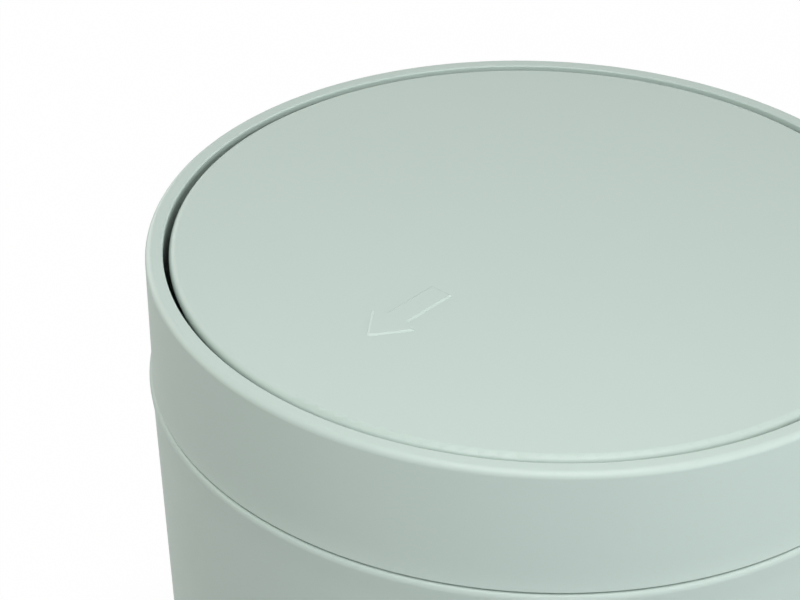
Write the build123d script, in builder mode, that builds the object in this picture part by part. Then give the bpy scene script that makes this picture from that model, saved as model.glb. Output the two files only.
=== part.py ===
from build123d import *
from math import cos, hypot, radians, sin, tan
import os

# Round swing-lid bin. Millimetres and degrees, +Z up, origin on the floor under
# the bin's centre. The arrow and the pushed edge of the flap face -Y.

# Overall
overall_height = 400.0
collar_diameter = 250.0

# Collar
collar_height = 42.3
collar_draft = 1.5
collar_wall = 2.2
collar_edge_radius = 2.25
land_width = 5.6
land_thickness = 2.4
lip_radius = 0.5
centring_rib_count = 24
centring_rib_thickness = 1.2
centring_rib_foot = 6.0
centring_rib_clearance = 0.15

# Bin body
rim_overhang = 0.6
rim_edge_radius = 2.2
rim_wall = 2.85
rim_band_height = 3.0
rim_band_slope = 1.0
body_taper = 3.0
body_wall = 2.4
base_thickness = 3.0
base_recess = 4.0
base_recess_run = 3.0
base_corner_radius = 7.0
standing_ring_width = 15.0
standing_ring_edge_radius = 1.2

# Foot pads
foot_pad_diameter = 12.0
foot_pad_sunk = 1.5
foot_pad_proud = 1.0
foot_pad_clearance = 0.1
foot_pad_chamfer = 0.3

# Pivot ring, which plugs into the body's mouth
plug_depth = 12.0
plug_clearance = 0.4
plug_lead_in = 0.5
plug_lead_in_height = 2.0
ring_set_back = 0.1

# Pivots
pivot_drop = 13.0
pin_diameter = 5.0
pin_chamfer = 0.4
pin_bearing_clearance = 0.05
pin_press_clearance = 0.01
pin_end_play = 0.3
bearing_block_length = 9.5
bearing_boss_radius = 8.0
bearing_block_depth = 8.0
bearing_block_shoulder = 1.0
bearing_end_wall = 0.5
swing_angle = 75.0
stop_clearance = 0.3

# Bearing caps and their screws
cap_thickness = 2.6
cap_side_clearance = 0.4
cap_end_clearance = 0.5
tongue_clearance = 0.1
cap_screw_inset = 3.8
screw_diameter = 2.9
screw_length = 8.0
screw_head_diameter = 5.6
screw_head_height = 1.8
screw_pilot_clearance = 0.05
screw_hole_clearance = 0.25
pilot_tip_clearance = 0.4

# Back ledge and its stop pads
ledge_reach = 7.0
ledge_thickness = 2.4
ledge_half_angle = 38.0
gusset_count = 5
gusset_height = 9.0
gusset_thickness = 1.6
gusset_inset = 1.0
stop_pad_angle = 24.0
stop_pad_half_angle = 4.5
stop_pad_width = 4.6
stop_pad_sunk = 0.5
stop_pad_proud = 1.5
stop_pad_clearance = 0.1

# Flap
flap_gap = 1.9
flap_thickness = 2.8
flap_edge_radius = 2.5
rim_rib_inset = 1.5
rim_rib_thickness = 1.8
rim_rib_depth = 4.5
rim_rib_cut = 20.0
grid_rib_spacing = 32.0
grid_rib_count = 7
grid_rib_thickness = 1.4
grid_rib_depth = 6.0
beam_spacing = 10.0
beam_thickness = 1.8
beam_depth = 8.0
ear_length = 12.0
ear_radius = 6.5
ear_side_play = 0.6

# Raised arrow on the flap
arrow_tip_from_centre = 78.3
arrow_side_offset = 4.2
arrow_length = 34.7
arrow_head_length = 12.0
arrow_head_width = 17.0
arrow_barb_sweep = 2.35
arrow_shaft_width = 8.2
arrow_height = 0.42
arrow_slope = 58.0

# Counterweight, its pocket and its cover
weight_rim_gap = 16.2
weight_width = 18.0
weight_half_angle = 32.0
weight_thickness = 10.0
weight_corner_radius = 2.0
weight_side_clearance = 0.4
weight_top_clearance = 0.3
pocket_wall = 1.6
cover_thickness = 1.8
cover_half_angle = 44.0
cover_screw_angle = 39.0
cover_corner_radius = 4.0
screw_boss_diameter = 7.0
weight_hole_clearance = 0.5

# How far a rib or block is let into the wall that carries it
weld = 0.4

# Collar and body sizes that follow
collar_radius = collar_diameter / 2
seam_z = overall_height - collar_height
land_underside_z = overall_height - land_thickness
opening_radius = collar_radius - land_width
draft_slope = tan(radians(collar_draft))
skirt_foot_outer_radius = collar_radius - collar_height * draft_slope
rim_radius = skirt_foot_outer_radius + rim_overhang
mouth_radius = rim_radius - rim_wall
taper_slope = tan(radians(body_taper))
body_wall_across = body_wall / cos(radians(body_taper))
plug_z = seam_z - plug_depth

# Pivot ring sizes that follow
ring_inner_radius = opening_radius + ring_set_back
ring_outer_radius = rim_radius - plug_depth * taper_slope - body_wall_across - plug_clearance

# Pivot sizes that follow
axis_z = overall_height - pivot_drop
pin_radius = pin_diameter / 2
bearing_radius = pin_radius + pin_bearing_clearance
block_face_x = ring_inner_radius - bearing_block_length
block_bottom_z = axis_z - bearing_block_depth
saddle_end_x = ring_inner_radius - bearing_end_wall
flap_underside_z = overall_height - flap_thickness
stop_distance = pivot_drop - flap_thickness - stop_clearance
ear_outer_x = block_face_x - ear_side_play
ear_inner_x = ear_outer_x - ear_length
pin_end_x = saddle_end_x - pin_end_play
screw_radius = screw_diameter / 2

# Ledge and flap sizes that follow
flap_radius = opening_radius - flap_gap
rim_rib_outer_radius = flap_radius - rim_rib_inset
rim_rib_inner_radius = rim_rib_outer_radius - rim_rib_thickness
rim_rib_bottom_z = flap_underside_z - rim_rib_depth
ledge_top_z = rim_rib_bottom_z - stop_pad_proud
ledge_bottom_z = ledge_top_z - ledge_thickness
ledge_inner_radius = ring_inner_radius - ledge_reach
weight_outer_radius = rim_rib_inner_radius - weight_rim_gap
weight_inner_radius = weight_outer_radius - weight_width
stop_pad_middle_radius = (rim_rib_outer_radius + rim_rib_inner_radius) / 2
stop_pad_bottom_z = ledge_top_z - stop_pad_sunk
pocket_inner_radius = weight_inner_radius - weight_side_clearance
pocket_outer_radius = weight_outer_radius + weight_side_clearance
pocket_bottom_z = flap_underside_z - weight_thickness - weight_top_clearance
weight_middle_radius = (weight_inner_radius + weight_outer_radius) / 2

SIDES = {"left": -1, "right": 1}


def body_radius(height):
    """Outer radius of the tapered body wall at a height above the floor."""
    return rim_radius - (seam_z - height) * taper_slope


def skirt_radius(height):
    """Inner radius of the collar's skirt at a height above the floor."""
    return collar_radius - collar_wall - (overall_height - height) * draft_slope


def flank_y(height):
    """Half width of a bearing block where its sloped flank stops the flap."""
    above_axis = height - axis_z
    stop = radians(swing_angle)
    return (stop_distance - above_axis * cos(stop)) / sin(stop)


def radial_plane(angle):
    """Upright plane through the bin's axis: x points outwards, y points up."""
    turn = radians(angle)
    return Plane(origin=(0, 0, 0), x_dir=(cos(turn), sin(turn), 0), z_dir=(sin(turn), -cos(turn), 0))


def turned_section(corners):
    """Half section in the open sketch from (radius, height, corner radius) rows."""
    with BuildLine() as outline:
        FilletPolyline(
            *[(radius, height) for radius, height, _ in corners],
            radius=[corner for _, _, corner in corners],
            close=True,
        )
    make_face(outline.edges())


def arc_band(inner_radius, outer_radius, middle_angle, half_angle):
    """Flat band between two arcs about the bin's axis, drawn in the open sketch."""
    start = middle_angle - half_angle
    with BuildLine() as outline:
        inner_arc = CenterArc((0, 0), inner_radius, start, 2 * half_angle)
        outer_arc = CenterArc((0, 0), outer_radius, start, 2 * half_angle)
        Line(inner_arc @ 0, outer_arc @ 0)
        Line(inner_arc @ 1, outer_arc @ 1)
    make_face(outline.edges())


def polar(radius, angle):
    """Point at a radius and an angle about the bin's axis."""
    return (radius * cos(radians(angle)), radius * sin(radians(angle)))


def save(piece, name):
    """Label a finished piece and write its file."""
    piece.label = name
    export_step(piece, f"parts/{name}.step")


os.makedirs("parts", exist_ok=True)

# Bin body: tapered wall, rounded rim and a base that stands on a ring
recess_z = foot_pad_proud + base_recess
recess_hypotenuse = hypot(base_recess, base_recess_run)
gutter_shift = base_thickness * (recess_hypotenuse - base_recess_run) / base_recess
gutter_z = foot_pad_proud + base_thickness
floor_z = recess_z + base_thickness
standing_ring_outer_radius = body_radius(foot_pad_proud) - base_corner_radius
standing_ring_inner_radius = standing_ring_outer_radius - standing_ring_width
rim_band_z = seam_z - rim_band_height
wall_top_z = rim_band_z - rim_band_slope
foot_pad_middle_radius = (standing_ring_outer_radius + standing_ring_inner_radius) / 2

with BuildPart() as bin_body:
    with BuildSketch(Plane.XZ):
        turned_section([
            (0, recess_z, 0),
            (standing_ring_inner_radius - base_recess_run, recess_z, standing_ring_edge_radius),
            (standing_ring_inner_radius, foot_pad_proud, standing_ring_edge_radius),
            (body_radius(foot_pad_proud), foot_pad_proud, base_corner_radius),
            (rim_radius, seam_z, rim_edge_radius),
            (mouth_radius, seam_z, 0),
            (mouth_radius, rim_band_z, 0),
            (body_radius(wall_top_z) - body_wall_across, wall_top_z, 0),
            (body_radius(gutter_z) - body_wall_across, gutter_z, base_corner_radius - body_wall),
            (standing_ring_inner_radius + gutter_shift, gutter_z, standing_ring_edge_radius),
            (standing_ring_inner_radius + gutter_shift - base_recess_run, floor_z, standing_ring_edge_radius),
            (0, floor_z, 0),
        ])
    revolve(axis=Axis.Z)
    with BuildSketch(Plane.XY.offset(foot_pad_proud)):
        with PolarLocations(foot_pad_middle_radius, 4, start_angle=45):
            Circle(foot_pad_diameter / 2 + foot_pad_clearance)
    extrude(amount=foot_pad_sunk, mode=Mode.SUBTRACT)
save(bin_body.part, "bin_body")

# Foot pads: soft discs let into the standing ring
foot_pad_places = {"back_right": 45, "back_left": 135, "front_left": 225, "front_right": 315}
for place, angle in foot_pad_places.items():
    with BuildPart() as foot_pad:
        with BuildSketch():
            with Locations(polar(foot_pad_middle_radius, angle)):
                Circle(foot_pad_diameter / 2)
        extrude(amount=foot_pad_proud + foot_pad_sunk)
        chamfer(foot_pad.edges().group_by(Axis.Z)[0], foot_pad_chamfer)
    save(foot_pad.part, f"foot_pad_{place}")

# Collar: tall drafted skirt, flat land and a lip round the opening
with BuildPart() as collar:
    with BuildSketch(Plane.XZ):
        turned_section([
            (skirt_foot_outer_radius, seam_z, 0),
            (collar_radius, overall_height, collar_edge_radius),
            (opening_radius, overall_height, lip_radius),
            (opening_radius, land_underside_z, 0),
            (skirt_radius(land_underside_z), land_underside_z, 0),
            (skirt_radius(seam_z), seam_z, 0),
        ])
    revolve(axis=Axis.Z)
    rib_face_radius = ring_outer_radius + centring_rib_clearance
    rib_foot_z = seam_z + centring_rib_foot
    for number in range(centring_rib_count):
        with BuildSketch(radial_plane((number + 0.5) * 360 / centring_rib_count)):
            with BuildLine():
                Polyline(
                    (rib_face_radius, rib_foot_z),
                    (skirt_radius(rib_foot_z) + weld, rib_foot_z),
                    (skirt_radius(land_underside_z) + weld, land_underside_z + weld),
                    (rib_face_radius, land_underside_z + weld),
                    close=True,
                )
            make_face()
        extrude(amount=centring_rib_thickness / 2, both=True)
save(collar.part, "collar")

# Pivot ring: plug wall, two bearing blocks and the back ledge
cap_half_width = flank_y(block_bottom_z) - cap_side_clearance
cap_screw_x = (block_face_x + saddle_end_x) / 2
cap_screw_spacing = 2 * (cap_half_width - cap_screw_inset)
cap_screw_depth = screw_length - cap_thickness + pilot_tip_clearance
block_shoulder_z = axis_z - bearing_block_shoulder

with BuildPart() as pivot_ring:
    with BuildSketch(Plane.XZ):
        turned_section([
            (ring_inner_radius, plug_z, 0),
            (ring_outer_radius - plug_lead_in, plug_z, 0),
            (ring_outer_radius, plug_z + plug_lead_in_height, 0),
            (ring_outer_radius, land_underside_z, 0),
            (ring_inner_radius, land_underside_z, 0),
        ])
    revolve(axis=Axis.Z)
    for side in SIDES.values():
        with BuildSketch(Plane.YZ.offset(side * block_face_x)):
            with BuildLine():
                Polyline(
                    (-flank_y(block_bottom_z), block_bottom_z),
                    (-flank_y(block_shoulder_z), block_shoulder_z),
                    (flank_y(block_shoulder_z), block_shoulder_z),
                    (flank_y(block_bottom_z), block_bottom_z),
                    close=True,
                )
            make_face()
            with Locations((0, axis_z)):
                Circle(bearing_boss_radius)
        extrude(amount=side * (bearing_block_length + weld))
    with BuildSketch(Plane.XY.offset(ledge_bottom_z)):
        arc_band(ledge_inner_radius, ring_inner_radius + weld, 90, ledge_half_angle)
    extrude(amount=ledge_thickness)
    gusset_step = 2 * ledge_half_angle / gusset_count
    for number in range(gusset_count):
        with BuildSketch(radial_plane(90 - ledge_half_angle + (number + 0.5) * gusset_step)):
            with BuildLine():
                Polyline(
                    (ring_inner_radius + weld, ledge_bottom_z + weld),
                    (ledge_inner_radius + gusset_inset, ledge_bottom_z + weld),
                    (ledge_inner_radius + gusset_inset, ledge_bottom_z),
                    (ring_inner_radius + weld, ledge_bottom_z - gusset_height),
                    close=True,
                )
            make_face()
        extrude(amount=gusset_thickness / 2, both=True)
    with BuildSketch(Plane.XY.offset(stop_pad_bottom_z)):
        stop_pad_turn = stop_pad_half_angle + stop_pad_clearance
        for side in SIDES.values():
            arc_band(
                stop_pad_middle_radius - stop_pad_width / 2 - stop_pad_clearance,
                stop_pad_middle_radius + stop_pad_width / 2 + stop_pad_clearance,
                90 - side * stop_pad_angle,
                stop_pad_turn,
            )
    extrude(amount=stop_pad_sunk + weld, mode=Mode.SUBTRACT)
    for side in SIDES.values():
        with BuildSketch(Plane.YZ.offset(side * block_face_x)):
            with Locations((0, axis_z)):
                Circle(bearing_radius)
                Rectangle(2 * bearing_radius, bearing_block_depth, align=(Align.CENTER, Align.MAX))
        extrude(amount=side * (saddle_end_x - block_face_x), mode=Mode.SUBTRACT)
    with BuildSketch(Plane.XY.offset(block_bottom_z)):
        with GridLocations(2 * cap_screw_x, cap_screw_spacing, 2, 2):
            Circle(screw_radius + screw_pilot_clearance)
    extrude(amount=cap_screw_depth, mode=Mode.SUBTRACT)
save(pivot_ring.part, "pivot_ring")

# Bearing caps: close the saddles under the pins
cap_length = saddle_end_x - block_face_x - cap_end_clearance
cap_bottom_z = block_bottom_z - cap_thickness
tongue_half_width = bearing_radius - tongue_clearance

for place, side in SIDES.items():
    with BuildPart() as bearing_cap:
        with BuildSketch(Plane.YZ.offset(side * block_face_x)):
            with Locations((0, cap_bottom_z)):
                Rectangle(2 * cap_half_width, cap_thickness, align=(Align.CENTER, Align.MIN))
                Rectangle(2 * tongue_half_width, axis_z - cap_bottom_z, align=(Align.CENTER, Align.MIN))
            with Locations((0, axis_z)):
                Circle(bearing_radius, mode=Mode.SUBTRACT)
        extrude(amount=side * cap_length)
        with BuildSketch(Plane.XY.offset(cap_bottom_z)):
            with Locations((side * cap_screw_x, 0)):
                with GridLocations(0, cap_screw_spacing, 1, 2):
                    Circle(screw_radius + screw_hole_clearance)
        extrude(amount=cap_thickness, mode=Mode.SUBTRACT)
    save(bearing_cap.part, f"bearing_cap_{place}")


def screws(places, seat_z):
    """Pan-head screws driven upwards, their heads seated at one height."""
    with BuildPart() as group:
        with BuildSketch(Plane.XY.offset(seat_z)):
            with Locations(*places):
                Circle(screw_head_diameter / 2)
        extrude(amount=-screw_head_height)
        chamfer(group.edges().group_by(Axis.Z)[0], screw_head_height / 3, screw_head_height / 2)
        with BuildSketch(Plane.XY.offset(seat_z)):
            with Locations(*places):
                Circle(screw_radius)
        extrude(amount=screw_length)
        chamfer(group.edges().group_by(Axis.Z)[-1], screw_radius / 3)
    return group.part


cap_screw_places = [
    (side * cap_screw_x, half * cap_screw_spacing / 2) for side in SIDES.values() for half in (-1, 1)
]
save(screws(cap_screw_places, cap_bottom_z), "bearing_cap_screws")

# Stop pads: soft arcs let into the ledge, on which the closed flap rests
for place, side in SIDES.items():
    with BuildPart() as stop_pad:
        with BuildSketch(Plane.XY.offset(stop_pad_bottom_z)):
            arc_band(
                stop_pad_middle_radius - stop_pad_width / 2,
                stop_pad_middle_radius + stop_pad_width / 2,
                90 - side * stop_pad_angle,
                stop_pad_half_angle,
            )
        extrude(amount=stop_pad_sunk + stop_pad_proud)
    save(stop_pad.part, f"stop_pad_{place}")

# Flap: flush disc with a raised arrow, stiffening ribs, pivot ears and a pocket
arrow_tail_y = arrow_length - arrow_tip_from_centre
arrow_head_y = arrow_head_length - arrow_tip_from_centre
notch_y = arrow_head_y + arrow_barb_sweep
cover_screw_places = [polar(weight_middle_radius, 90 + turn * cover_screw_angle) for turn in (-1, 0, 1)]
weight_end_turn = weight_half_angle + weight_side_clearance
pocket_wall_turn = 2 * pocket_wall

with BuildPart() as flap:
    with BuildSketch(Plane.XZ):
        turned_section([
            (0, flap_underside_z, 0),
            (flap_radius, flap_underside_z, 0),
            (flap_radius, overall_height, flap_edge_radius),
            (0, overall_height, 0),
        ])
    revolve(axis=Axis.Z)
    with BuildSketch(Plane.XY.offset(overall_height)):
        with BuildLine():
            Polyline(
                (-arrow_side_offset, -arrow_tip_from_centre),
                (-arrow_side_offset + arrow_head_width / 2, arrow_head_y),
                (-arrow_side_offset + arrow_shaft_width / 2, notch_y),
                (-arrow_side_offset + arrow_shaft_width / 2, arrow_tail_y),
                (-arrow_side_offset - arrow_shaft_width / 2, arrow_tail_y),
                (-arrow_side_offset - arrow_shaft_width / 2, notch_y),
                (-arrow_side_offset - arrow_head_width / 2, arrow_head_y),
                close=True,
            )
        make_face()
    extrude(amount=arrow_height, taper=arrow_slope)
    with BuildSketch(Plane.XY.offset(flap_underside_z)):
        Circle(rim_rib_outer_radius)
        Circle(rim_rib_inner_radius, mode=Mode.SUBTRACT)
        with GridLocations(2 * flap_radius, 0, 2, 1):
            Rectangle(2 * (flap_radius - ear_outer_x), 2 * rim_rib_cut, mode=Mode.SUBTRACT)
    extrude(amount=-rim_rib_depth)
    with BuildSketch(Plane.XY.offset(flap_underside_z)):
        with GridLocations(grid_rib_spacing, 0, grid_rib_count, 1):
            Rectangle(grid_rib_thickness, 2 * flap_radius)
        with GridLocations(0, grid_rib_spacing, 1, grid_rib_count):
            Rectangle(2 * flap_radius, grid_rib_thickness)
        Circle(rim_rib_inner_radius + weld, mode=Mode.INTERSECT)
        with GridLocations(2 * flap_radius, 0, 2, 1):
            Rectangle(2 * (flap_radius - ear_outer_x), 2 * rim_rib_cut, mode=Mode.SUBTRACT)
    extrude(amount=-grid_rib_depth)
    with BuildSketch(Plane.XY.offset(flap_underside_z)):
        with GridLocations(0, beam_spacing, 1, 2):
            Rectangle(2 * ear_inner_x + 2 * weld, beam_thickness)
    extrude(amount=-beam_depth)
    for side in SIDES.values():
        with BuildSketch(Plane.YZ.offset(side * ear_inner_x)):
            with Locations((0, axis_z)):
                Circle(ear_radius)
                Rectangle(2 * ear_radius, pivot_drop - flap_thickness, align=(Align.CENTER, Align.MIN))
        extrude(amount=side * ear_length)
    with BuildSketch(Plane.XY.offset(flap_underside_z)):
        arc_band(
            pocket_inner_radius - pocket_wall,
            pocket_outer_radius + pocket_wall,
            90,
            weight_end_turn + pocket_wall_turn / 2,
        )
    extrude(amount=pocket_bottom_z - flap_underside_z)
    with BuildSketch(Plane.XY.offset(flap_underside_z)):
        arc_band(pocket_inner_radius, pocket_outer_radius, 90, weight_end_turn)
    extrude(amount=pocket_bottom_z - flap_underside_z, mode=Mode.SUBTRACT)
    with BuildSketch(Plane.XY.offset(flap_underside_z)):
        with Locations(*cover_screw_places):
            Circle(screw_boss_diameter / 2)
    extrude(amount=pocket_bottom_z - flap_underside_z)
    with BuildSketch(Plane.XY.offset(pocket_bottom_z)):
        with Locations(*cover_screw_places):
            Circle(screw_radius + screw_pilot_clearance)
    extrude(amount=screw_length - cover_thickness + pilot_tip_clearance, mode=Mode.SUBTRACT)
    for side in SIDES.values():
        with BuildSketch(Plane.YZ.offset(side * ear_inner_x)):
            with Locations((0, axis_z)):
                Circle(pin_radius + pin_press_clearance)
        extrude(amount=side * ear_length, mode=Mode.SUBTRACT)
save(flap.part, "flap")

# Pivot pins: steel stubs through the ears into the saddles
for place, side in SIDES.items():
    with BuildPart() as pivot_pin:
        with BuildSketch(Plane.YZ.offset(side * ear_inner_x)):
            with Locations((0, axis_z)):
                Circle(pin_radius)
        extrude(amount=side * (pin_end_x - ear_inner_x))
        chamfer(pivot_pin.edges().filter_by(GeomType.CIRCLE), pin_chamfer)
    save(pivot_pin.part, f"pivot_pin_{place}")

# Counterweight: steel arc that lies on the cover, held by the middle boss
weight_hole_radius = screw_boss_diameter / 2 + weight_hole_clearance
with BuildPart() as counterweight:
    with BuildSketch(Plane.XY.offset(pocket_bottom_z)):
        arc_band(weight_inner_radius, weight_outer_radius, 90, weight_half_angle)
    extrude(amount=weight_thickness)
    fillet(counterweight.edges().filter_by(Axis.Z), weight_corner_radius)
    with BuildSketch(Plane.XY.offset(pocket_bottom_z)):
        with Locations(polar(weight_middle_radius, 90)):
            Circle(weight_hole_radius)
    extrude(amount=weight_thickness, mode=Mode.SUBTRACT)
save(counterweight.part, "counterweight")

# Counterweight cover: plate that closes the pocket from below
with BuildPart() as counterweight_cover:
    with BuildSketch(Plane.XY.offset(pocket_bottom_z)) as cover_outline:
        arc_band(
            pocket_inner_radius - pocket_wall,
            pocket_outer_radius + pocket_wall,
            90,
            cover_half_angle,
        )
        fillet(cover_outline.vertices(), cover_corner_radius)
        with Locations(*cover_screw_places):
            Circle(screw_radius + screw_hole_clearance, mode=Mode.SUBTRACT)
    extrude(amount=-cover_thickness)
save(counterweight_cover.part, "counterweight_cover")

save(screws(cover_screw_places, pocket_bottom_z - cover_thickness), "counterweight_screws")
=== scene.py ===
from math import asin, ceil, cos, hypot, pi, radians, sin, tan

import bmesh
import bpy
from bpy.props import FloatProperty, FloatVectorProperty, IntProperty, PointerProperty
from bpy.types import Operator, Panel, PropertyGroup
from mathutils import Matrix, Vector


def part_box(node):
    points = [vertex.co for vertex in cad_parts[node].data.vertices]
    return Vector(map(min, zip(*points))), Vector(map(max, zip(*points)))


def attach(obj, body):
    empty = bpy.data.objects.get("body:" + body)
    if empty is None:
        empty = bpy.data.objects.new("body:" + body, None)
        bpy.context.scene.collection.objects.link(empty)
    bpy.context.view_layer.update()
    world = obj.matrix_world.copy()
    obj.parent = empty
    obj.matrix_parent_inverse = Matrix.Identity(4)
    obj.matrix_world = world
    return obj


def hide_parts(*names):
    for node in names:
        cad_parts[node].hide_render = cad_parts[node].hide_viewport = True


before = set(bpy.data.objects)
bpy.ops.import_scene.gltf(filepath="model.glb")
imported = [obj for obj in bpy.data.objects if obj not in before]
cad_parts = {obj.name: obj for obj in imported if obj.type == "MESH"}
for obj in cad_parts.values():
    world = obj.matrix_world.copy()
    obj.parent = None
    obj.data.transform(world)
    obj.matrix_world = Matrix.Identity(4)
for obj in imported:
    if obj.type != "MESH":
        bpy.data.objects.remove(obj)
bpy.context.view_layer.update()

bl_info = {
    "name": "Swing-lid bin",
    "version": (1, 0, 0),
    "blender": (4, 5, 0),
    "location": "3D View > Sidebar > Bin",
    "description": "Builds the visible pieces and finishes of a round swing-lid bin, and its stage",
    "category": "Object",
}

MM = 0.001
WHITE = (1.0, 1.0, 1.0, 1.0)

# How finely the shapes are cut
TURNED_STEPS = 192
SMALL_TURNED_STEPS = 40
STUB_TURNED_STEPS = 32
RIM_STEPS = 8
THREAD_STEPS = 24
ARC_STEP = radians(9)
SHARP_ANGLE = radians(35)
ROUNDED_ANGLE = radians(70)
FLAT_ANGLE = radians(0.3)
MERGED_DISTANCE = 0.001 * MM


def length(label, description, millimetres):
    """A length property with its default given in millimetres."""
    return FloatProperty(
        name=label, description=description, default=millimetres * MM, precision=5,
        subtype="DISTANCE", unit="LENGTH",
    )


def angle(label, description, degrees):
    """An angle property with its default given in degrees."""
    return FloatProperty(
        name=label, description=description, default=radians(degrees),
        subtype="ANGLE", unit="ROTATION",
    )


def number(label, description, value):
    """A count of repeated details."""
    return IntProperty(name=label, description=description, default=value, min=1)


def colour(label, description, rgb):
    """A colour property, its default in linear light."""
    return FloatVectorProperty(
        name=label, description=description, default=rgb, size=3, min=0.0, max=1.0, subtype="COLOR",
    )


def share(label, description, value):
    """A plain number from nothing to one."""
    return FloatProperty(
        name=label, description=description, default=value, min=0.0, max=1.0, subtype="FACTOR",
    )


def power(label, description, watts):
    """A lamp's power."""
    return FloatProperty(name=label, description=description, default=watts, min=0.0, unit="POWER")


class BinBody(PropertyGroup):
    """Sizes of the tapered body, beside its width at the rim and its height, which the imported part gives.
    """

    taper: angle("Taper", "Slope of the wall from upright", 3.0)
    wall: length("Wall", "Thickness of the wall", 2.4)
    rim_swell: length("Rim swell", "How far the rolled rim stands out past the wall's line", 0.5)
    rim_run: length("Rim run", "Height over which the rim eases back into the wall", 9.5)
    shoulder_rise: length("Shoulder rise", "Height over which the rim rounds off", 2.15)
    shoulder_width: length("Shoulder width", "Width over which the rim rounds off", 1.3)
    shadow_gap: length("Shadow gap", "Open height of the groove under the collar's foot", 0.78)
    shadow_gap_depth: length("Shadow gap depth", "How far the groove reaches in from the wall's line", 2.2)
    rim_wall: length("Rim wall", "Thickness of the rim", 2.85)
    rim_band: length("Rim band", "Height of the thicker band inside the mouth", 3.0)
    rim_band_slope: length("Rim band slope", "Height of the slope under that band", 1.0)
    base_thickness: length("Base thickness", "Thickness of the base", 3.0)
    base_recess: length("Base recess", "How far the base lies above the standing ring", 4.0)
    base_recess_run: length("Base recess run", "Width of the slope round the recess", 3.0)
    base_corner: length("Base corner", "Rounding between the wall and the base", 7.0)
    ring_width: length("Standing ring width", "Width of the ring that the body stands on", 15.0)
    ring_edge: length("Standing ring edge", "Rounding of the standing ring's inner edge", 1.2)
    mouth_edge: length("Mouth edge", "Rounding of the mouth's edges", 0.2)
    gate_radius: length("Gate radius", "Radius of the sprue's stub under the base", 1.8)
    gate_height: length("Gate height", "Height of the sprue's stub", 0.7)


class BinCollar(PropertyGroup):
    """Sizes of the collar, beside its diameter and height, which the imported part gives."""

    draft: angle("Draft", "Slope of the skirt from upright", 1.5)
    wall: length("Wall", "Thickness of the skirt", 2.2)
    land_width: length("Land width", "Flat ring between the outer edge and the opening", 5.6)
    land_thickness: length("Land thickness", "Thickness of the flat ring", 2.4)
    land_corner: length("Land corner", "Rounding between the land and the skirt inside", 0.8)
    outer_radius: length("Outer edge radius", "Rounding of the collar's top outer edge", 2.25)
    lip_radius: length("Lip radius", "Rounding of the lip round the opening", 0.65)
    foot_radius: length("Foot radius", "Rounding of the skirt's and the land's lower edges", 0.12)
    foot_lap: length("Foot lap", "How far the skirt's outer edge hangs past its seat on the body", 0.12)
    foot_lap_width: length("Foot lap width", "Thickness of that edge", 1.4)
    foot_flare: length("Foot flare", "How far the skirt curves out at its foot", 0.5)
    foot_flare_run: length("Foot flare run", "Height over which the skirt curves out", 6.5)
    rib_count: number("Rib count", "Centring ribs inside the skirt", 24)
    rib_thickness: length("Rib thickness", "Thickness of a centring rib", 1.2)
    rib_foot: length("Rib foot", "Height of a rib's foot above the seam", 6.0)
    rib_clearance: length("Rib clearance", "Gap between a rib and the pivot ring", 0.15)
    rib_draft: length("Rib draft", "How much thinner a rib is at its face than at its root", 0.3)


class BinScrew(PropertyGroup):
    """Sizes of the pan-head screws, beside the places that the imported parts give."""

    shank: length("Shank", "Diameter over the thread", 2.9)
    core: length("Core", "Diameter under the thread", 2.1)
    pitch: length("Pitch", "Rise of the thread in one turn", 1.1)
    head: length("Head", "Diameter of the head", 5.6)
    head_height: length("Head height", "Height of the head", 1.8)
    overall: length("Length", "Length under the head", 8.0)
    tip: length("Tip", "Length of the cone at the end", 1.3)
    recess_span: length("Recess span", "Width of the cross across the head", 3.3)
    recess_slot: length("Recess slot", "Width of one arm of the cross", 0.9)
    recess_depth: length("Recess depth", "Depth of the cross", 1.15)


class BinFlap(PropertyGroup):
    """Sizes of the marks under the flap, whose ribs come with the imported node."""

    thickness: length("Thickness", "Thickness of the flap's plate", 2.8)
    rib_spacing: length("Rib spacing", "Spacing of the grid of ribs", 32.0)
    mark_reach: length("Mark reach", "Radius within which ejector pins press", 96.0)
    pocket_start: length("Pocket start", "Distance behind the pivots where the weight's pocket begins", 64.0)
    mark_radius: length("Mark radius", "Radius of an ejector pin's mark", 3.0)
    mark_height: length("Mark height", "How proud an ejector pin's mark stands", 0.15)
    mark_edge: length("Mark edge", "Rounding of an ejector pin's mark", 0.06)


class BinEdges(PropertyGroup):
    """Small roundings that a mould and a tool leave."""

    bearing: length("Bearing edge", "Rounding of the pivot ring's and the caps' edges", 0.1)
    cover: length("Cover edge", "Rounding of the cover's edges", 0.15)
    sheared: length("Sheared edge", "Rounding of the counterweight's edges", 0.15)
    pad: length("Pad edge", "Rounding of the pads' edges", 0.4)


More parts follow.
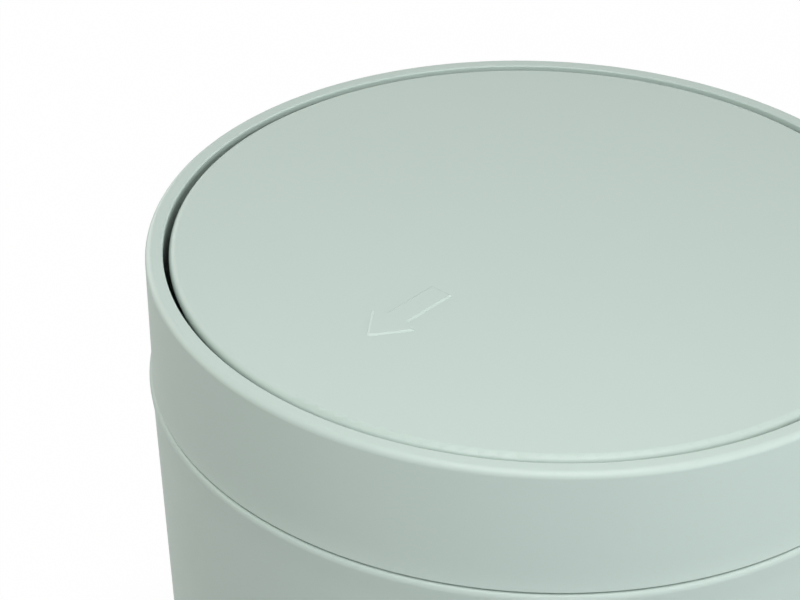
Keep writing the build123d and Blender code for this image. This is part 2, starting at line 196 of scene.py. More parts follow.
class BinFinish(PropertyGroup):
    """Colours and gloss of the bin's materials."""

    sage: colour("Sage plastic", "Colour of the three outer mouldings", (0.514, 0.617, 0.565))
    sage_roughness: share("Sage roughness", "Satin gloss of the outer mouldings", 0.42)
    inner: colour("Inner plastic", "Colour of the ring, caps and cover", (0.44, 0.53, 0.48))
    inner_roughness: share("Inner roughness", "Plain gloss of the inner mouldings", 0.5)
    zinc: colour("Zinc plating", "Colour of the plated screws", (0.72, 0.72, 0.70))
    zinc_roughness: share("Zinc roughness", "Gloss of the plated screws", 0.3)
    steel: colour("Pin steel", "Colour of the ground pivot pins", (0.66, 0.66, 0.67))
    steel_roughness: share("Pin roughness", "Gloss of the ground pivot pins", 0.22)
    weight: colour("Weight steel", "Colour of the phosphated steel weight", (0.055, 0.058, 0.062))
    weight_roughness: share("Weight roughness", "Dull gloss of the weight", 0.62)
    pad: colour("Stop pad", "Colour of the soft stop pads", (0.27, 0.29, 0.28))
    pad_roughness: share("Stop pad roughness", "Dull gloss of the stop pads", 0.8)
    rubber: colour("Foot rubber", "Colour of the foot pads", (0.085, 0.095, 0.09))
    rubber_roughness: share("Foot rubber roughness", "Dull gloss of the foot pads", 0.85)


class BinStage(PropertyGroup):
    """Floor, lights and camera."""

    floor_size: length("Floor size", "Side of the square floor", 12000)
    floor_colour: colour("Floor colour", "Pale floor, as light sees it", (0.85, 0.85, 0.85))
    floor_roughness: share("Floor roughness", "Dull gloss of the floor", 0.9)
    floor_white: share("Floor white", "Share of plain white that the camera sees far from the bin", 0.99)
    # Painted shade: a lower share here greys the floor round the bin's foot, besides letting its real shadow
    # show.
    floor_shade: share("Floor shade", "Share of plain white that the camera sees at the bin's foot", 0.55)
    shade_reach: length("Shade reach", "Distance over which the floor turns white", 270)
    ambient: share("Ambient light", "Strength of the even light from all round", 0.3)
    cool: colour("Cool light", "Tint of the softboxes on the right", (0.92, 0.94, 1.0))
    warm: colour("Warm light", "Tint of the softbox on the left", (1.0, 1.0, 0.88))
    near_power: power("Near power", "Small softbox over the near edge", 2.63)
    front_power: power("Front power", "Low softbox, half right of the camera", 6.2)
    right_power: power("Right power", "Low softbox on the right", 7.0)
    left_power: power("Left power", "Low softbox on the left", 3.15)
    back_power: power("Back power", "Low softbox behind, on the left", 5.9)
    camera_turn: angle("Camera turn", "Bearing of the camera from the front", 37.4)
    camera_distance: length("Camera distance", "Distance across the floor from the bin's axis", 768.2)
    camera_height: length("Camera height", "Height of the camera above the floor", 862.6)
    camera_heading: angle("Camera heading", "Compass turn of the view to the left of +Y", 40.72)
    camera_pitch: angle("Camera pitch", "How far the view points down", 32.3245)
    camera_roll: angle("Camera roll", "Turn of the picture about the line of sight", 1.0066)
    camera_lens: FloatProperty(
        name="Lens", description="Focal length in millimetres", default=127.8, unit="CAMERA",
    )


class BinSettings(PropertyGroup):
    """Everything that a user would change."""

    body: PointerProperty(type=BinBody)
    collar: PointerProperty(type=BinCollar)
    screw: PointerProperty(type=BinScrew)
    flap: PointerProperty(type=BinFlap)
    edges: PointerProperty(type=BinEdges)
    finish: PointerProperty(type=BinFinish)
    stage: PointerProperty(type=BinStage)


def settings():
    """The bin's settings in the current scene."""
    return bpy.context.scene.swing_bin


# Outlines and turned forms

def filleted(corners):
    """An outline's points from its (across, up, radius) corners, with the rounded ones as arcs."""
    points = []
    for place, (across, up, radius) in enumerate(corners):
        here = Vector((across, up))
        if radius == 0:
            points.append(here)
            continue
        before = Vector(corners[place - 1][:2]) - here
        after = Vector(corners[(place + 1) % len(corners)][:2]) - here
        opening = before.angle(after)
        middle = (before.normalized() + after.normalized()).normalized()
        centre = here + middle * radius / sin(opening / 2)
        start = here + before.normalized() * radius / tan(opening / 2) - centre
        turn = pi - opening if before.cross(after) < 0 else opening - pi
        steps = max(2, ceil(abs(turn) / ARC_STEP))
        points += [centre + Matrix.Rotation(turn * step / steps, 2) @ start for step in range(steps + 1)]
    return points


def turned(points, steps=TURNED_STEPS, closed=True):
    """Corners and faces of an outline turned about the Z axis."""
    corners = []
    rings = []
    for across, up in points:
        count = 1 if across < MERGED_DISTANCE else steps
        rings.append(range(len(corners), len(corners) + count))
        turns = [2 * pi * step / steps for step in range(count)]
        corners += [Vector((across * cos(turn), across * sin(turn), up)) for turn in turns]
    pairs = list(zip(rings, rings[1:]))
    if closed:
        pairs.append((rings[-1], rings[0]))
    faces = []
    for low, high in pairs:
        for step in range(steps):
            ahead = step + 1
            quad = (
                low[step % len(low)], low[ahead % len(low)],
                high[ahead % len(high)], high[step % len(high)],
            )
            face = tuple(dict.fromkeys(quad))
            if len(face) > 2:
                faces.append(face)
    return corners, faces


def fin(root, face, foot, top, root_thickness, face_thickness, turn):
    """A tapered rib in a plane through the Z axis. Root is its (foot, top) distances at the wall."""
    outwards = Vector((cos(turn), sin(turn), 0))
    sideways = Vector((-sin(turn), cos(turn), 0))
    corners = []
    for up, wall in ((foot, root[0]), (top, root[1])):
        for across, thickness in ((face, face_thickness), (wall, root_thickness)):
            for side in (-0.5, 0.5):
                corners.append(outwards * across + sideways * side * thickness + Vector((0, 0, up)))
    faces = [(0, 1, 3, 2), (4, 6, 7, 5), (0, 4, 5, 1), (2, 3, 7, 6), (0, 2, 6, 4), (1, 5, 7, 3)]
    return corners, faces


def moved(part, place):
    """The same corners and faces at another place."""
    corners, faces = part
    return [corner + Vector(place) for corner in corners], faces


def joined(parts):
    """The corners and faces of several parts as those of one."""
    corners = []
    faces = []
    for part_corners, part_faces in parts:
        faces += [[corner + len(corners) for corner in face] for face in part_faces]
        corners += part_corners
    return corners, faces


def mesh_of(name, parts):
    """One smooth mesh from lists of corners and faces, its normals outwards and corners sharp."""
    corners, faces = joined(parts)
    mesh = bpy.data.meshes.new(name)
    mesh.from_pydata(corners, [], faces)
    shape = bmesh.new()
    shape.from_mesh(mesh)
    bmesh.ops.recalc_face_normals(shape, faces=shape.faces)
    shape.to_mesh(mesh)
    shape.free()
    mesh.shade_smooth()
    mesh.set_sharp_from_angle(angle=SHARP_ANGLE)
    return mesh


def add_piece(name, mesh, body, slot, material, *nodes):
    """A new piece that rides on a body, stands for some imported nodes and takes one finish."""
    piece = bpy.data.objects.new(name, mesh)
    bpy.context.scene.collection.objects.link(piece)
    mesh.materials.clear()
    mesh.materials.append(material)
    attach(piece, body)
    if nodes:
        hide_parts(*nodes)
    return piece


def dress(node, material):
    """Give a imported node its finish."""
    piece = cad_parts[node]
    piece.data.materials.clear()
    piece.data.materials.append(material)
    return piece


def round_edges(piece, width):
    """Round a piece's sharp edges on top of its mesh, as a mould or a file leaves them."""
    join = piece.modifiers.new("join_seams", "WELD")
    join.merge_threshold = MERGED_DISTANCE
    merge = piece.modifiers.new("merge_flats", "DECIMATE")
    merge.decimate_type = "DISSOLVE"
    merge.angle_limit = FLAT_ANGLE
    edge = piece.modifiers.new("rounded_edges", "BEVEL")
    edge.width = width
    edge.segments = 3
    edge.limit_method = "ANGLE"
    edge.angle_limit = ROUNDED_ANGLE
    edge.use_clamp_overlap = False
    piece.modifiers.new("crisp_corners", "EDGE_SPLIT").split_angle = SHARP_ANGLE
    piece.modifiers.new("even_shading", "WEIGHTED_NORMAL")
    return piece


# Finishes

def add_node(tree, kind, values=None, links=None, **options):
    """A new node with its options, input values and input links."""
    node = tree.nodes.new(kind)
    for name, value in options.items():
        setattr(node, name, value)
    for name, value in (values or {}).items():
        node.inputs[name].default_value = value
    for name, source in (links or {}).items():
        tree.links.new(source, node.inputs[name])
    return node


def new_material(name, base, roughness, metallic=0.0):
    """A material with its node tree, its principled shader and the place on the object."""
    material = bpy.data.materials.new(name)
    material.use_nodes = True
    tree = material.node_tree
    shader = tree.nodes["Principled BSDF"]
    shader.inputs["Base Color"].default_value = (*base, 1.0)
    shader.inputs["Roughness"].default_value = roughness
    shader.inputs["Metallic"].default_value = metallic
    place = add_node(tree, "ShaderNodeTexCoord").outputs["Object"]
    return material, tree, shader, place


def noise(tree, place, size, detail=2.0):
    """Even noise whose blotches are about one size across."""
    values = {"Scale": 1 / size, "Detail": detail}
    return add_node(tree, "ShaderNodeTexNoise", values, {"Vector": place}).outputs["Fac"]


def cells(tree, place, size):
    """Rounded cells about one size across, lowest at their middles."""
    return add_node(tree, "ShaderNodeTexVoronoi", {"Scale": 1 / size}, {"Vector": place}).outputs["Distance"]


def vary_colour(tree, shader, base, spread, factor):
    """Let a colour drift up and down by a share of itself."""
    mix = add_node(tree, "ShaderNodeMix", data_type="RGBA")
    mix.inputs["A"].default_value = (*[channel * (1 - spread) for channel in base], 1.0)
    mix.inputs["B"].default_value = (*[channel * (1 + spread) for channel in base], 1.0)
    tree.links.new(factor, mix.inputs["Factor"])
    tree.links.new(mix.outputs["Result"], shader.inputs["Base Color"])


def vary_gloss(tree, shader, roughness, spread, factor):
    """Let the roughness drift up and down."""
    values = {"From Min": 0.3, "From Max": 0.7, "To Min": roughness - spread, "To Max": roughness + spread}
    gloss = add_node(tree, "ShaderNodeMapRange", values, {"Value": factor})
    tree.links.new(gloss.outputs["Result"], shader.inputs["Roughness"])


def relief(tree, shader, layers):
    """Stack layers of bump, each a height source and its depth."""
    normal = None
    for source, depth in layers:
        bump = add_node(tree, "ShaderNodeBump", {"Strength": 1.0, "Distance": depth}, {"Height": source})
        if normal:
            tree.links.new(normal, bump.inputs["Normal"])
        normal = bump.outputs["Normal"]
    tree.links.new(normal, shader.inputs["Normal"])


def moulded_plastic(name, base, roughness, grain_depth):
    """Polypropylene: faint clouding of its tint, satin gloss, a slow swell and a fine mould grain."""
    material, tree, shader, place = new_material(name, base, roughness)
    shader.inputs["IOR"].default_value = 1.49
    clouds = noise(tree, place, 70 * MM, detail=3.0)
    vary_colour(tree, shader, base, 0.012, clouds)
    smears = noise(tree, place, 18 * MM, detail=4.0)
    vary_gloss(tree, shader, roughness, 0.03, smears)
    swell = noise(tree, place, 45 * MM, detail=1.0)
    grain = noise(tree, place, 0.5 * MM)
    relief(tree, shader, ((swell, 0.03 * MM), (grain, grain_depth)))
    return material


def zinc_plate(name, base, roughness):
    """Bright zinc: smeared gloss with small darker stains."""
    material, tree, shader, place = new_material(name, base, roughness, metallic=1.0)
    stains = noise(tree, place, 1.4 * MM, detail=4.0)
    vary_colour(tree, shader, base, 0.07, stains)
    smears = noise(tree, place, 0.6 * MM, detail=4.0)
    vary_gloss(tree, shader, roughness, 0.1, smears)
    grain = noise(tree, place, 0.25 * MM)
    relief(tree, shader, ((grain, 0.004 * MM),))
    return material


def ground_steel(name, base, roughness):
    """Steel ground round its own axis, which lies along X: fine rings and a bright gloss."""
    material, tree, shader, place = new_material(name, base, roughness, metallic=1.0)
    rings = add_node(
        tree, "ShaderNodeTexWave", {"Scale": 900.0, "Distortion": 1.5, "Detail": 2.0, "Detail Scale": 3.0},
        {"Vector": place}, bands_direction="X",
    ).outputs["Fac"]
    stains = noise(tree, place, 2 * MM, detail=4.0)
    vary_colour(tree, shader, base, 0.05, stains)
    smears = noise(tree, place, 0.8 * MM, detail=3.0)
    vary_gloss(tree, shader, roughness, 0.06, smears)
    relief(tree, shader, ((rings, 0.003 * MM),))
    return material


def phosphated_steel(name, base, roughness):
    """Mild steel under a dark crystalline coat, matt and mottled."""
    material, tree, shader, place = new_material(name, base, roughness, metallic=0.35)
    crystals = cells(tree, place, 0.7 * MM)
    mottling = noise(tree, place, 6 * MM, detail=5.0)
    vary_colour(tree, shader, base, 0.3, mottling)
    smears = noise(tree, place, 2 * MM, detail=4.0)
    vary_gloss(tree, shader, roughness, 0.1, smears)
    relief(tree, shader, ((crystals, 0.03 * MM),))
    return material


def soft_elastomer(name, base, roughness, pore_size, pore_depth):
    """Soft rubber: matt, with fine pores and faint dust."""
    material, tree, shader, place = new_material(name, base, roughness)
    pores = cells(tree, place, pore_size)
    dust = noise(tree, place, 3 * MM, detail=5.0)
    vary_colour(tree, shader, base, 0.08, dust)
    smears = noise(tree, place, 1.5 * MM)
    vary_gloss(tree, shader, roughness, 0.06, smears)
    relief(tree, shader, ((pores, pore_depth),))
    return material


def finish_named(name):
    """One of the bin's finishes, made the first time that a piece asks for it."""
    finish = settings().finish
    makers = {
        "sage_plastic": (moulded_plastic, finish.sage, finish.sage_roughness, 0.006 * MM),
        "inner_plastic": (moulded_plastic, finish.inner, finish.inner_roughness, 0.012 * MM),
        "zinc_screw": (zinc_plate, finish.zinc, finish.zinc_roughness),
        "pin_steel": (ground_steel, finish.steel, finish.steel_roughness),
        "weight_steel": (phosphated_steel, finish.weight, finish.weight_roughness),
        "soft_pad": (soft_elastomer, finish.pad, finish.pad_roughness, 0.5 * MM, 0.05 * MM),
        "foot_rubber": (soft_elastomer, finish.rubber, finish.rubber_roughness, 0.8 * MM, 0.08 * MM),
    }
    full_name = f"{name}_finish"
    make, *values = makers[name]
    return bpy.data.materials.get(full_name) or make(full_name, *values)


# The pieces

class BIN_OT_body(Operator):
    """Tapered body with its rolled rim, and the sprue's stub under its base"""

    bl_idname = "swing_bin.body"
    bl_label = "Body"

    def execute(self, context):
        body = settings().body
        low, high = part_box("bin_body")
        slope = tan(body.taper)
        seam = high.z
        foot = low.z
        recess = foot + body.base_recess
        wall_across = body.wall / cos(body.taper)

        def wall_radius(height):
            return high.x - (seam - height) * slope

        ring_inner = wall_radius(foot) - body.base_corner - body.ring_width
        rim = high.x + body.rim_swell
        shoulder = seam - settings().collar.foot_lap - body.shadow_gap
        swell = []
        for step in range(RIM_STEPS + 1):
            risen = step / RIM_STEPS
            height = shoulder - body.shoulder_rise - body.rim_run * (1 - risen)
            swell.append((wall_radius(height) * (1 - risen * risen) + rim * risen * risen, height, 0))
        rounding = []
        for step in range(1, RIM_STEPS + 1):
            turn = pi / 2 * step / RIM_STEPS
            inset = body.shoulder_width * (1 - cos(turn))
            rounding.append((rim - inset, shoulder - body.shoulder_rise * (1 - sin(turn)), 0))
        band = seam - body.rim_band
        under_band = band - body.rim_band_slope
        mouth = high.x - body.rim_wall
        gutter = foot + body.base_thickness
        # The slope round the recess is moved outwards inside, so that the base is even in thickness.
        slant = hypot(body.base_recess, body.base_recess_run)
        shift = body.base_thickness * (slant - body.base_recess_run) / body.base_recess
        outline = filleted([
            (0, recess, 0),
            (ring_inner - body.base_recess_run, recess, body.ring_edge),
            (ring_inner, foot, body.ring_edge),
            (wall_radius(foot), foot, body.base_corner),
            *swell,
            *rounding,
            (high.x - body.shadow_gap_depth, shoulder, 0),
            (high.x - body.shadow_gap_depth, seam, 0),
            (mouth, seam, body.mouth_edge),
            (mouth, band, body.mouth_edge),
            (wall_radius(under_band) - wall_across, under_band, 0),
            (wall_radius(gutter) - wall_across, gutter, body.base_corner - body.wall),
            (ring_inner + shift, gutter, body.ring_edge),
            (ring_inner + shift - body.base_recess_run, recess + body.base_thickness, body.ring_edge),
            (0, recess + body.base_thickness, 0),
        ])
        sage = finish_named("sage_plastic")
        mesh = mesh_of("body_shell", [turned(outline, closed=False)])
        piece = add_piece("body_shell", mesh, "bin", "sage_plastic", sage, "bin_body")
        piece.modifiers.new("even_shading", "WEIGHTED_NORMAL").keep_sharp = True
        sunk = recess + body.gate_height / 2
        stub = turned(filleted([
            (0, sunk, 0),
            (0, recess - body.gate_height * 0.8, 0),
            (body.gate_radius * 0.7, recess - body.gate_height, body.gate_height * 0.2),
            (body.gate_radius, sunk, 0),
        ]), STUB_TURNED_STEPS)
        add_piece("base_gate_stub", mesh_of("base_gate_stub", [stub]), "bin", "sage_plastic", sage)
        return {"FINISHED"}


class BIN_OT_collar(Operator):
    """Collar: drafted skirt, land with a rounded lip, and centring ribs inside"""

    bl_idname = "swing_bin.collar"
    bl_label = "Collar"

    def execute(self, context):
        collar = settings().collar
        low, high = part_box("collar")
        slope = tan(collar.draft)
        top = high.z
        opening = high.x - collar.land_width
        land_underside = top - collar.land_thickness
        foot = low.z - collar.foot_lap

        def skirt_outside(height):
            return high.x - (top - height) * slope

        def skirt_inside(height):
            return high.x - collar.wall - (top - height) * slope

        foot_outside = skirt_outside(foot) + collar.foot_flare
        flare = []
        for step in range(1, RIM_STEPS + 1):
            risen = step / RIM_STEPS
            height = foot + collar.foot_flare_run * risen
            flare.append((skirt_outside(height) + collar.foot_flare * (1 - risen) ** 2, height, 0))
        outline = filleted([
            (foot_outside - collar.foot_lap_width, low.z, 0),
            (foot_outside - collar.foot_lap_width, foot, collar.foot_radius),
            (foot_outside, foot, collar.foot_radius),
            *flare,
            (high.x, top, collar.outer_radius),
            (opening, top, collar.lip_radius),
            (opening, land_underside, collar.foot_radius),
            (skirt_inside(land_underside), land_underside, collar.land_corner),
            (skirt_inside(low.z), low.z, collar.foot_radius),
        ])
        rib_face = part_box("pivot_ring")[1].x + collar.rib_clearance
        rib_foot = low.z + collar.rib_foot
        weld = collar.wall / 4
        ribs = [
            fin(
                (skirt_inside(rib_foot) + weld, skirt_inside(land_underside) + weld), rib_face,
                rib_foot, land_underside + weld,
                collar.rib_thickness, collar.rib_thickness - collar.rib_draft,
                2 * pi * (place + 0.5) / collar.rib_count,
            )
            for place in range(collar.rib_count)
        ]
        mesh = mesh_of("collar_shell", [turned(outline), *ribs])
        sage = finish_named("sage_plastic")
        piece = add_piece("collar_shell", mesh, "collar", "sage_plastic", sage, "collar")
        piece.modifiers.new("even_shading", "WEIGHTED_NORMAL").keep_sharp = True
        return {"FINISHED"}


class BIN_OT_flap(Operator):
    """Flap with its raised arrow and ribbed underside"""

    bl_idname = "swing_bin.flap"
    bl_label = "Flap"

    def execute(self, context):
        sage = finish_named("sage_plastic")
        dress("flap", sage)
        flap = settings().flap
        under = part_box("collar")[1].z - flap.thickness
        mark = turned(filleted([
            (0, under + flap.mark_height, 0),
            (0, under - flap.mark_height, 0),
            (flap.mark_radius, under - flap.mark_height, flap.mark_edge),
            (flap.mark_radius, under + flap.mark_height, 0),
        ]), SMALL_TURNED_STEPS)
        # The pins press in the middle of every second cell between the ribs, as on a chequerboard.
        steps = range(-3, 3)
        places = [
            Vector(((column + 0.5) * flap.rib_spacing, (row + 0.5) * flap.rib_spacing, 0))
            for column in steps for row in steps if (column + row) % 2
        ]
        marks = [
            moved(mark, place) for place in places
            if place.length < flap.mark_reach and place.y < flap.pocket_start
        ]
        mesh = mesh_of("flap_ejector_marks", marks)
        add_piece("flap_ejector_marks", mesh, "flap", "sage_plastic", sage)
        return {"FINISHED"}


class BIN_OT_bearings(Operator):
    """Pivot ring and the two caps that close its saddles"""

    bl_idname = "swing_bin.bearings"
    bl_label = "Pivot Ring and Caps"

    def execute(self, context):
        for node in ("pivot_ring", "bearing_cap_left", "bearing_cap_right"):
            round_edges(dress(node, finish_named("inner_plastic")), settings().edges.bearing)
        return {"FINISHED"}


class BIN_OT_pins(Operator):
    """Steel pivot pins"""

    bl_idname = "swing_bin.pins"
    bl_label = "Pivot Pins"

    def execute(self, context):
        for node in ("pivot_pin_left", "pivot_pin_right"):
            dress(node, finish_named("pin_steel"))
        return {"FINISHED"}


class BIN_OT_counterweight(Operator):
    """Steel counterweight and the cover of its pocket"""

    bl_idname = "swing_bin.counterweight"
    bl_label = "Counterweight"

    def execute(self, context):
        edges = settings().edges
        round_edges(dress("counterweight", finish_named("weight_steel")), edges.sheared)
        round_edges(dress("counterweight_cover", finish_named("inner_plastic")), edges.cover)
        return {"FINISHED"}


class BIN_OT_pads(Operator):
    """Soft stop pads under the flap and rubber pads under the base"""

    bl_idname = "swing_bin.pads"
    bl_label = "Pads"

    def execute(self, context):
        edges = settings().edges
        for side in ("left", "right"):
            round_edges(dress(f"stop_pad_{side}", finish_named("soft_pad")), edges.pad)
        for place in ("front_left", "front_right", "back_left", "back_right"):
            dress(f"foot_pad_{place}", finish_named("foot_rubber"))
        return {"FINISHED"}


class BIN_OT_screws(Operator):
    """Pan-head screws of the bearing caps and of the counterweight's cover"""

    bl_idname = "swing_bin.screws"
    bl_label = "Screws"

    def execute(self, context):
        screw = settings().screw
        inset = screw.head / 2
        low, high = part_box("bearing_cap_screws")
        cap_places = [
            (side * (high.x - inset), half * (high.y - inset), low.z + screw.head_height)
            for side in (-1, 1) for half in (-1, 1)
        ]
        low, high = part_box("counterweight_screws")
        circle = high.y - inset
        spread = asin((high.x - inset) / circle)
        cover_places = [
            (circle * sin(turn * spread), circle * cos(turn * spread), low.z + screw.head_height)
            for turn in (-1, 0, 1)
        ]
        one = self.one_screw(screw)
        for name, body, places in (
            ("bearing_cap_screws", "collar", cap_places), ("counterweight_screws", "flap", cover_places),
        ):
            mesh = mesh_of(f"{name}_cut", [moved(one, place) for place in places])
            add_piece(f"{name}_cut", mesh, body, "zinc_screw", finish_named("zinc_screw"), name)
        return {"FINISHED"}

    def one_screw(self, screw):
        """Corners and faces of a screw driven upwards, its head seated at zero."""
        head = turned(filleted([
            (0, -screw.head_height, 0),
            (screw.head * 0.33, -screw.head_height, screw.head_height * 0.6),
            (screw.head / 2, -screw.head_height * 0.5, screw.head_height * 0.3),
            (screw.head / 2, 0, screw.head_height * 0.08),
            (0, 0, 0),
        ]), SMALL_TURNED_STEPS, closed=False)
        head = self.cross_cut(head, screw)
        core = turned(filleted([
            (0, -screw.head_height * 0.1, 0),
            (screw.core / 2, -screw.head_height * 0.1, 0),
            (screw.core / 2, screw.overall - screw.tip, 0),
            (0, screw.overall, 0),
        ]), THREAD_STEPS, closed=False)
        return joined([head, core, self.thread(screw)])

    def thread(self, screw):
        """The thread's ridge, which runs out towards the tip."""
        root = screw.core / 2 * 0.97
        crest = screw.shank / 2
        start = screw.pitch * 0.5
        run = screw.overall - start - screw.tip * 0.4
        count = round(run / screw.pitch * THREAD_STEPS)
        corners = []
        for step in range(count + 1):
            up = start + screw.pitch * step / THREAD_STEPS
            turn = 2 * pi * step / THREAD_STEPS
            past = max(0.0, up - (screw.overall - screw.tip)) / screw.tip
            shrink = 1 - past * 0.8
            lead = min(1.0, step / THREAD_STEPS)
            ridge = root + (crest - root) * lead
            for across, rise in ((root, -0.25), (ridge, 0), (root, 0.25)):
                flank = screw.pitch * rise * lead
                corners.append(Vector((across * shrink * cos(turn), across * shrink * sin(turn), up + flank)))
        faces = [(0, 1, 2), (3 * count, 3 * count + 2, 3 * count + 1)]
        for step in range(count):
            here = 3 * step
            for edge in range(3):
                other = (edge + 1) % 3
                faces.append((here + edge, here + other, here + 3 + other, here + 3 + edge))
        return corners, faces

    def cross_cut(self, head, screw):
        """The head with a tapered cross sunk into it."""
        holder = bpy.data.objects.new("screw_head", mesh_of("screw_head", [head]))
        bpy.context.scene.collection.objects.link(holder)
        cutters = []
        for turn in (0, pi / 2):
            corners = []
            for up, span, slot in (
                (-screw.head_height * 1.2, screw.recess_span * 1.1, screw.recess_slot * 1.1),
                (-screw.head_height + screw.recess_depth, screw.recess_span * 0.4, screw.recess_slot * 0.5),
            ):
                for along, across in ((-1, -1), (1, -1), (1, 1), (-1, 1)):
                    corner = Vector((along * span / 2, across * slot / 2, up))
                    corners.append(Matrix.Rotation(turn, 3, "Z") @ corner)
            faces = [(3, 2, 1, 0), (4, 5, 6, 7), (0, 1, 5, 4), (1, 2, 6, 5), (2, 3, 7, 6), (3, 0, 4, 7)]
            cutter = bpy.data.objects.new("cross_blade", mesh_of("cross_blade", [(corners, faces)]))
            bpy.context.scene.collection.objects.link(cutter)
            cut = holder.modifiers.new("cross", "BOOLEAN")
            cut.operation = "DIFFERENCE"
            cut.object = cutter
            cutters.append(cutter)
        shape = holder.evaluated_get(bpy.context.evaluated_depsgraph_get()).to_mesh()
        corners = [corner.co.copy() for corner in shape.vertices]
        faces = [tuple(face.vertices) for face in shape.polygons]
        for made in (holder, *cutters):
            bpy.data.objects.remove(made)
        return corners, faces


def softbox(name, watts, turn, climb, distance, target_height, size, tint=(1.0, 1.0, 1.0)):
    """A square lamp that faces the bin and that the camera doesn't see, placed by its turn from
    the camera's bearing and its climb, both in degrees."""
    lamp = bpy.data.lights.new(name, "AREA")
    lamp.energy = watts
    lamp.color = tint
    lamp.size = size
    holder = bpy.data.objects.new(name, lamp)
    bpy.context.scene.collection.objects.link(holder)
    bearing = settings().stage.camera_turn + radians(turn)
    climb = radians(climb)
    outwards = Vector((sin(bearing) * cos(climb), -cos(bearing) * cos(climb), sin(climb)))
    holder.location = outwards * distance + Vector((0, 0, target_height))
    holder.rotation_euler = outwards.to_track_quat("Z", "Y").to_euler()
    holder.visible_camera = False
    return holder


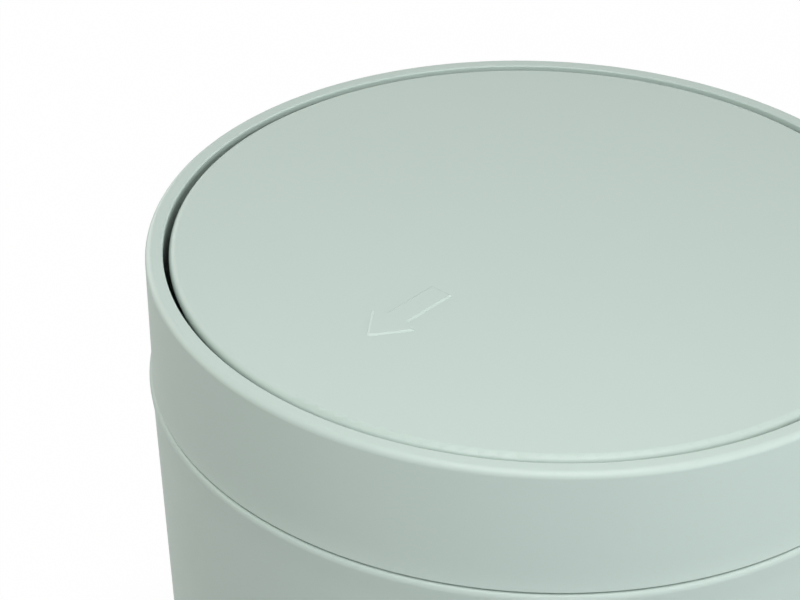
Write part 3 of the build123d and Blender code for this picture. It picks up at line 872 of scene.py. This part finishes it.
class BIN_OT_stage(Operator):
    """Floor, soft light, white surroundings and the camera"""

    bl_idname = "swing_bin.stage"
    bl_label = "Stage"

    def execute(self, context):
        stage = settings().stage
        self.floor(stage)
        self.surroundings(stage)
        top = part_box("collar")[1].z
        side = top * 0.75
        softbox("near_softbox", stage.near_power, turn=0, climb=55, distance=0.6, target_height=top, size=0.5)
        low = {"climb": 15, "distance": 1.6, "target_height": side, "size": 1.0}
        softbox("front_softbox", stage.front_power, turn=45, tint=stage.cool, **low)
        softbox("right_softbox", stage.right_power, turn=90, **low)
        softbox("left_softbox", stage.left_power, turn=-90, tint=stage.warm, **low)
        softbox("back_softbox", stage.back_power, turn=-135, **low)
        self.camera(stage)
        context.scene.view_settings.view_transform = "Standard"
        return {"FINISHED"}

    def floor(self, stage):
        """Large pale floor. The camera sees it white far off; towards the bin's foot its white glow fades,
        which lets the real shadow show and also greys the floor there as painted shade.
        """
        half = stage.floor_size / 2
        mesh = bpy.data.meshes.new("floor")
        corners = [(-half, -half, 0), (half, -half, 0), (half, half, 0), (-half, half, 0)]
        mesh.from_pydata(corners, [], [(0, 1, 2, 3)])
        floor = bpy.data.objects.new("floor", mesh)
        bpy.context.scene.collection.objects.link(floor)
        material, tree, shader, place = new_material("floor_paper", stage.floor_colour, stage.floor_roughness)
        glow = add_node(tree, "ShaderNodeEmission", {"Color": WHITE})
        seen = add_node(tree, "ShaderNodeLightPath").outputs["Is Camera Ray"]
        away = add_node(tree, "ShaderNodeVectorMath", {}, {"Vector": place}, operation="LENGTH")
        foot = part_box("bin_body")[1].x
        # The white glow fades towards the bin's foot: painted shade that greys the floor there, on top of the
        # real shadow that then shows.
        values = {
            "From Min": foot, "From Max": foot + stage.shade_reach,
            "To Min": stage.floor_shade, "To Max": stage.floor_white,
        }
        whiteness = add_node(
            tree, "ShaderNodeMapRange", values, {"Value": away.outputs["Value"]},
            interpolation_type="SMOOTHSTEP",
        )
        lift = add_node(
            tree, "ShaderNodeMath", {}, {0: seen, 1: whiteness.outputs["Result"]}, operation="MULTIPLY",
        ).outputs["Value"]
        blend = add_node(
            tree, "ShaderNodeMixShader", {},
            {0: lift, 1: shader.outputs["BSDF"], 2: glow.outputs["Emission"]},
        )
        tree.links.new(blend.outputs["Shader"], tree.nodes["Material Output"].inputs["Surface"])
        mesh.materials.append(material)

    def surroundings(self, stage):
        """Even light all round, seen as white by the camera and in reflections."""
        world = bpy.data.worlds.new("white_surroundings")
        bpy.context.scene.world = world
        world.use_nodes = True
        tree = world.node_tree
        ambient = tree.nodes["Background"]
        ambient.inputs["Color"].default_value = WHITE
        ambient.inputs["Strength"].default_value = stage.ambient
        white = add_node(tree, "ShaderNodeBackground", {"Color": WHITE})
        path = tree.nodes.new("ShaderNodeLightPath")
        seen = path.outputs["Is Camera Ray"]
        for ray in ("Is Glossy Ray", "Is Transmission Ray"):
            links = {0: seen, 1: path.outputs[ray]}
            either = add_node(tree, "ShaderNodeMath", {}, links, operation="MAXIMUM")
            seen = either.outputs["Value"]
        blend = add_node(
            tree, "ShaderNodeMixShader", {},
            {0: seen, 1: ambient.outputs["Background"], 2: white.outputs["Background"]},
        )
        tree.links.new(blend.outputs["Shader"], tree.nodes["World Output"].inputs["Surface"])

    def camera(self, stage):
        """Long lens that looks down at the flap from the front right."""
        lens = bpy.data.cameras.new("camera")
        lens.sensor_width = 36.0
        lens.lens = stage.camera_lens
        lens.clip_start = 0.01
        lens.clip_end = 50.0
        camera = bpy.data.objects.new("camera", lens)
        bpy.context.scene.collection.objects.link(camera)
        turn = stage.camera_turn
        across = stage.camera_distance
        place = Vector((sin(turn) * across, -cos(turn) * across, stage.camera_height))
        heading = Matrix.Rotation(stage.camera_heading, 4, "Z")
        pitch = Matrix.Rotation(pi / 2 - stage.camera_pitch, 4, "X")
        roll = Matrix.Rotation(stage.camera_roll, 4, "Z")
        camera.matrix_world = Matrix.Translation(place) @ heading @ pitch @ roll
        bpy.context.scene.camera = camera


class BIN_PT_panel(Panel):
    """Buttons for each group of pieces and for the stage"""

    bl_idname = "BIN_PT_panel"
    bl_label = "Swing-Lid Bin"
    bl_space_type = "VIEW_3D"
    bl_region_type = "UI"
    bl_category = "Bin"

    def draw(self, context):
        for operator in OPERATORS:
            self.layout.operator(operator.bl_idname)


OPERATORS = (
    BIN_OT_body, BIN_OT_collar, BIN_OT_flap, BIN_OT_bearings, BIN_OT_screws, BIN_OT_pins,
    BIN_OT_counterweight, BIN_OT_pads, BIN_OT_stage,
)
GROUPS = (BinBody, BinCollar, BinFlap, BinScrew, BinEdges, BinFinish, BinStage, BinSettings)
CLASSES = (*GROUPS, *OPERATORS, BIN_PT_panel)


def register():
    for cls in CLASSES:
        bpy.utils.register_class(cls)
    bpy.types.Scene.swing_bin = PointerProperty(type=BinSettings)


def unregister():
    del bpy.types.Scene.swing_bin
    for cls in reversed(CLASSES):
        bpy.utils.unregister_class(cls)


def main():
    register()
    bpy.ops.swing_bin.body()
    bpy.ops.swing_bin.collar()
    bpy.ops.swing_bin.flap()
    bpy.ops.swing_bin.bearings()
    bpy.ops.swing_bin.screws()
    bpy.ops.swing_bin.pins()
    bpy.ops.swing_bin.counterweight()
    bpy.ops.swing_bin.pads()
    bpy.ops.swing_bin.stage()


if __name__ == "__main__":
    main()
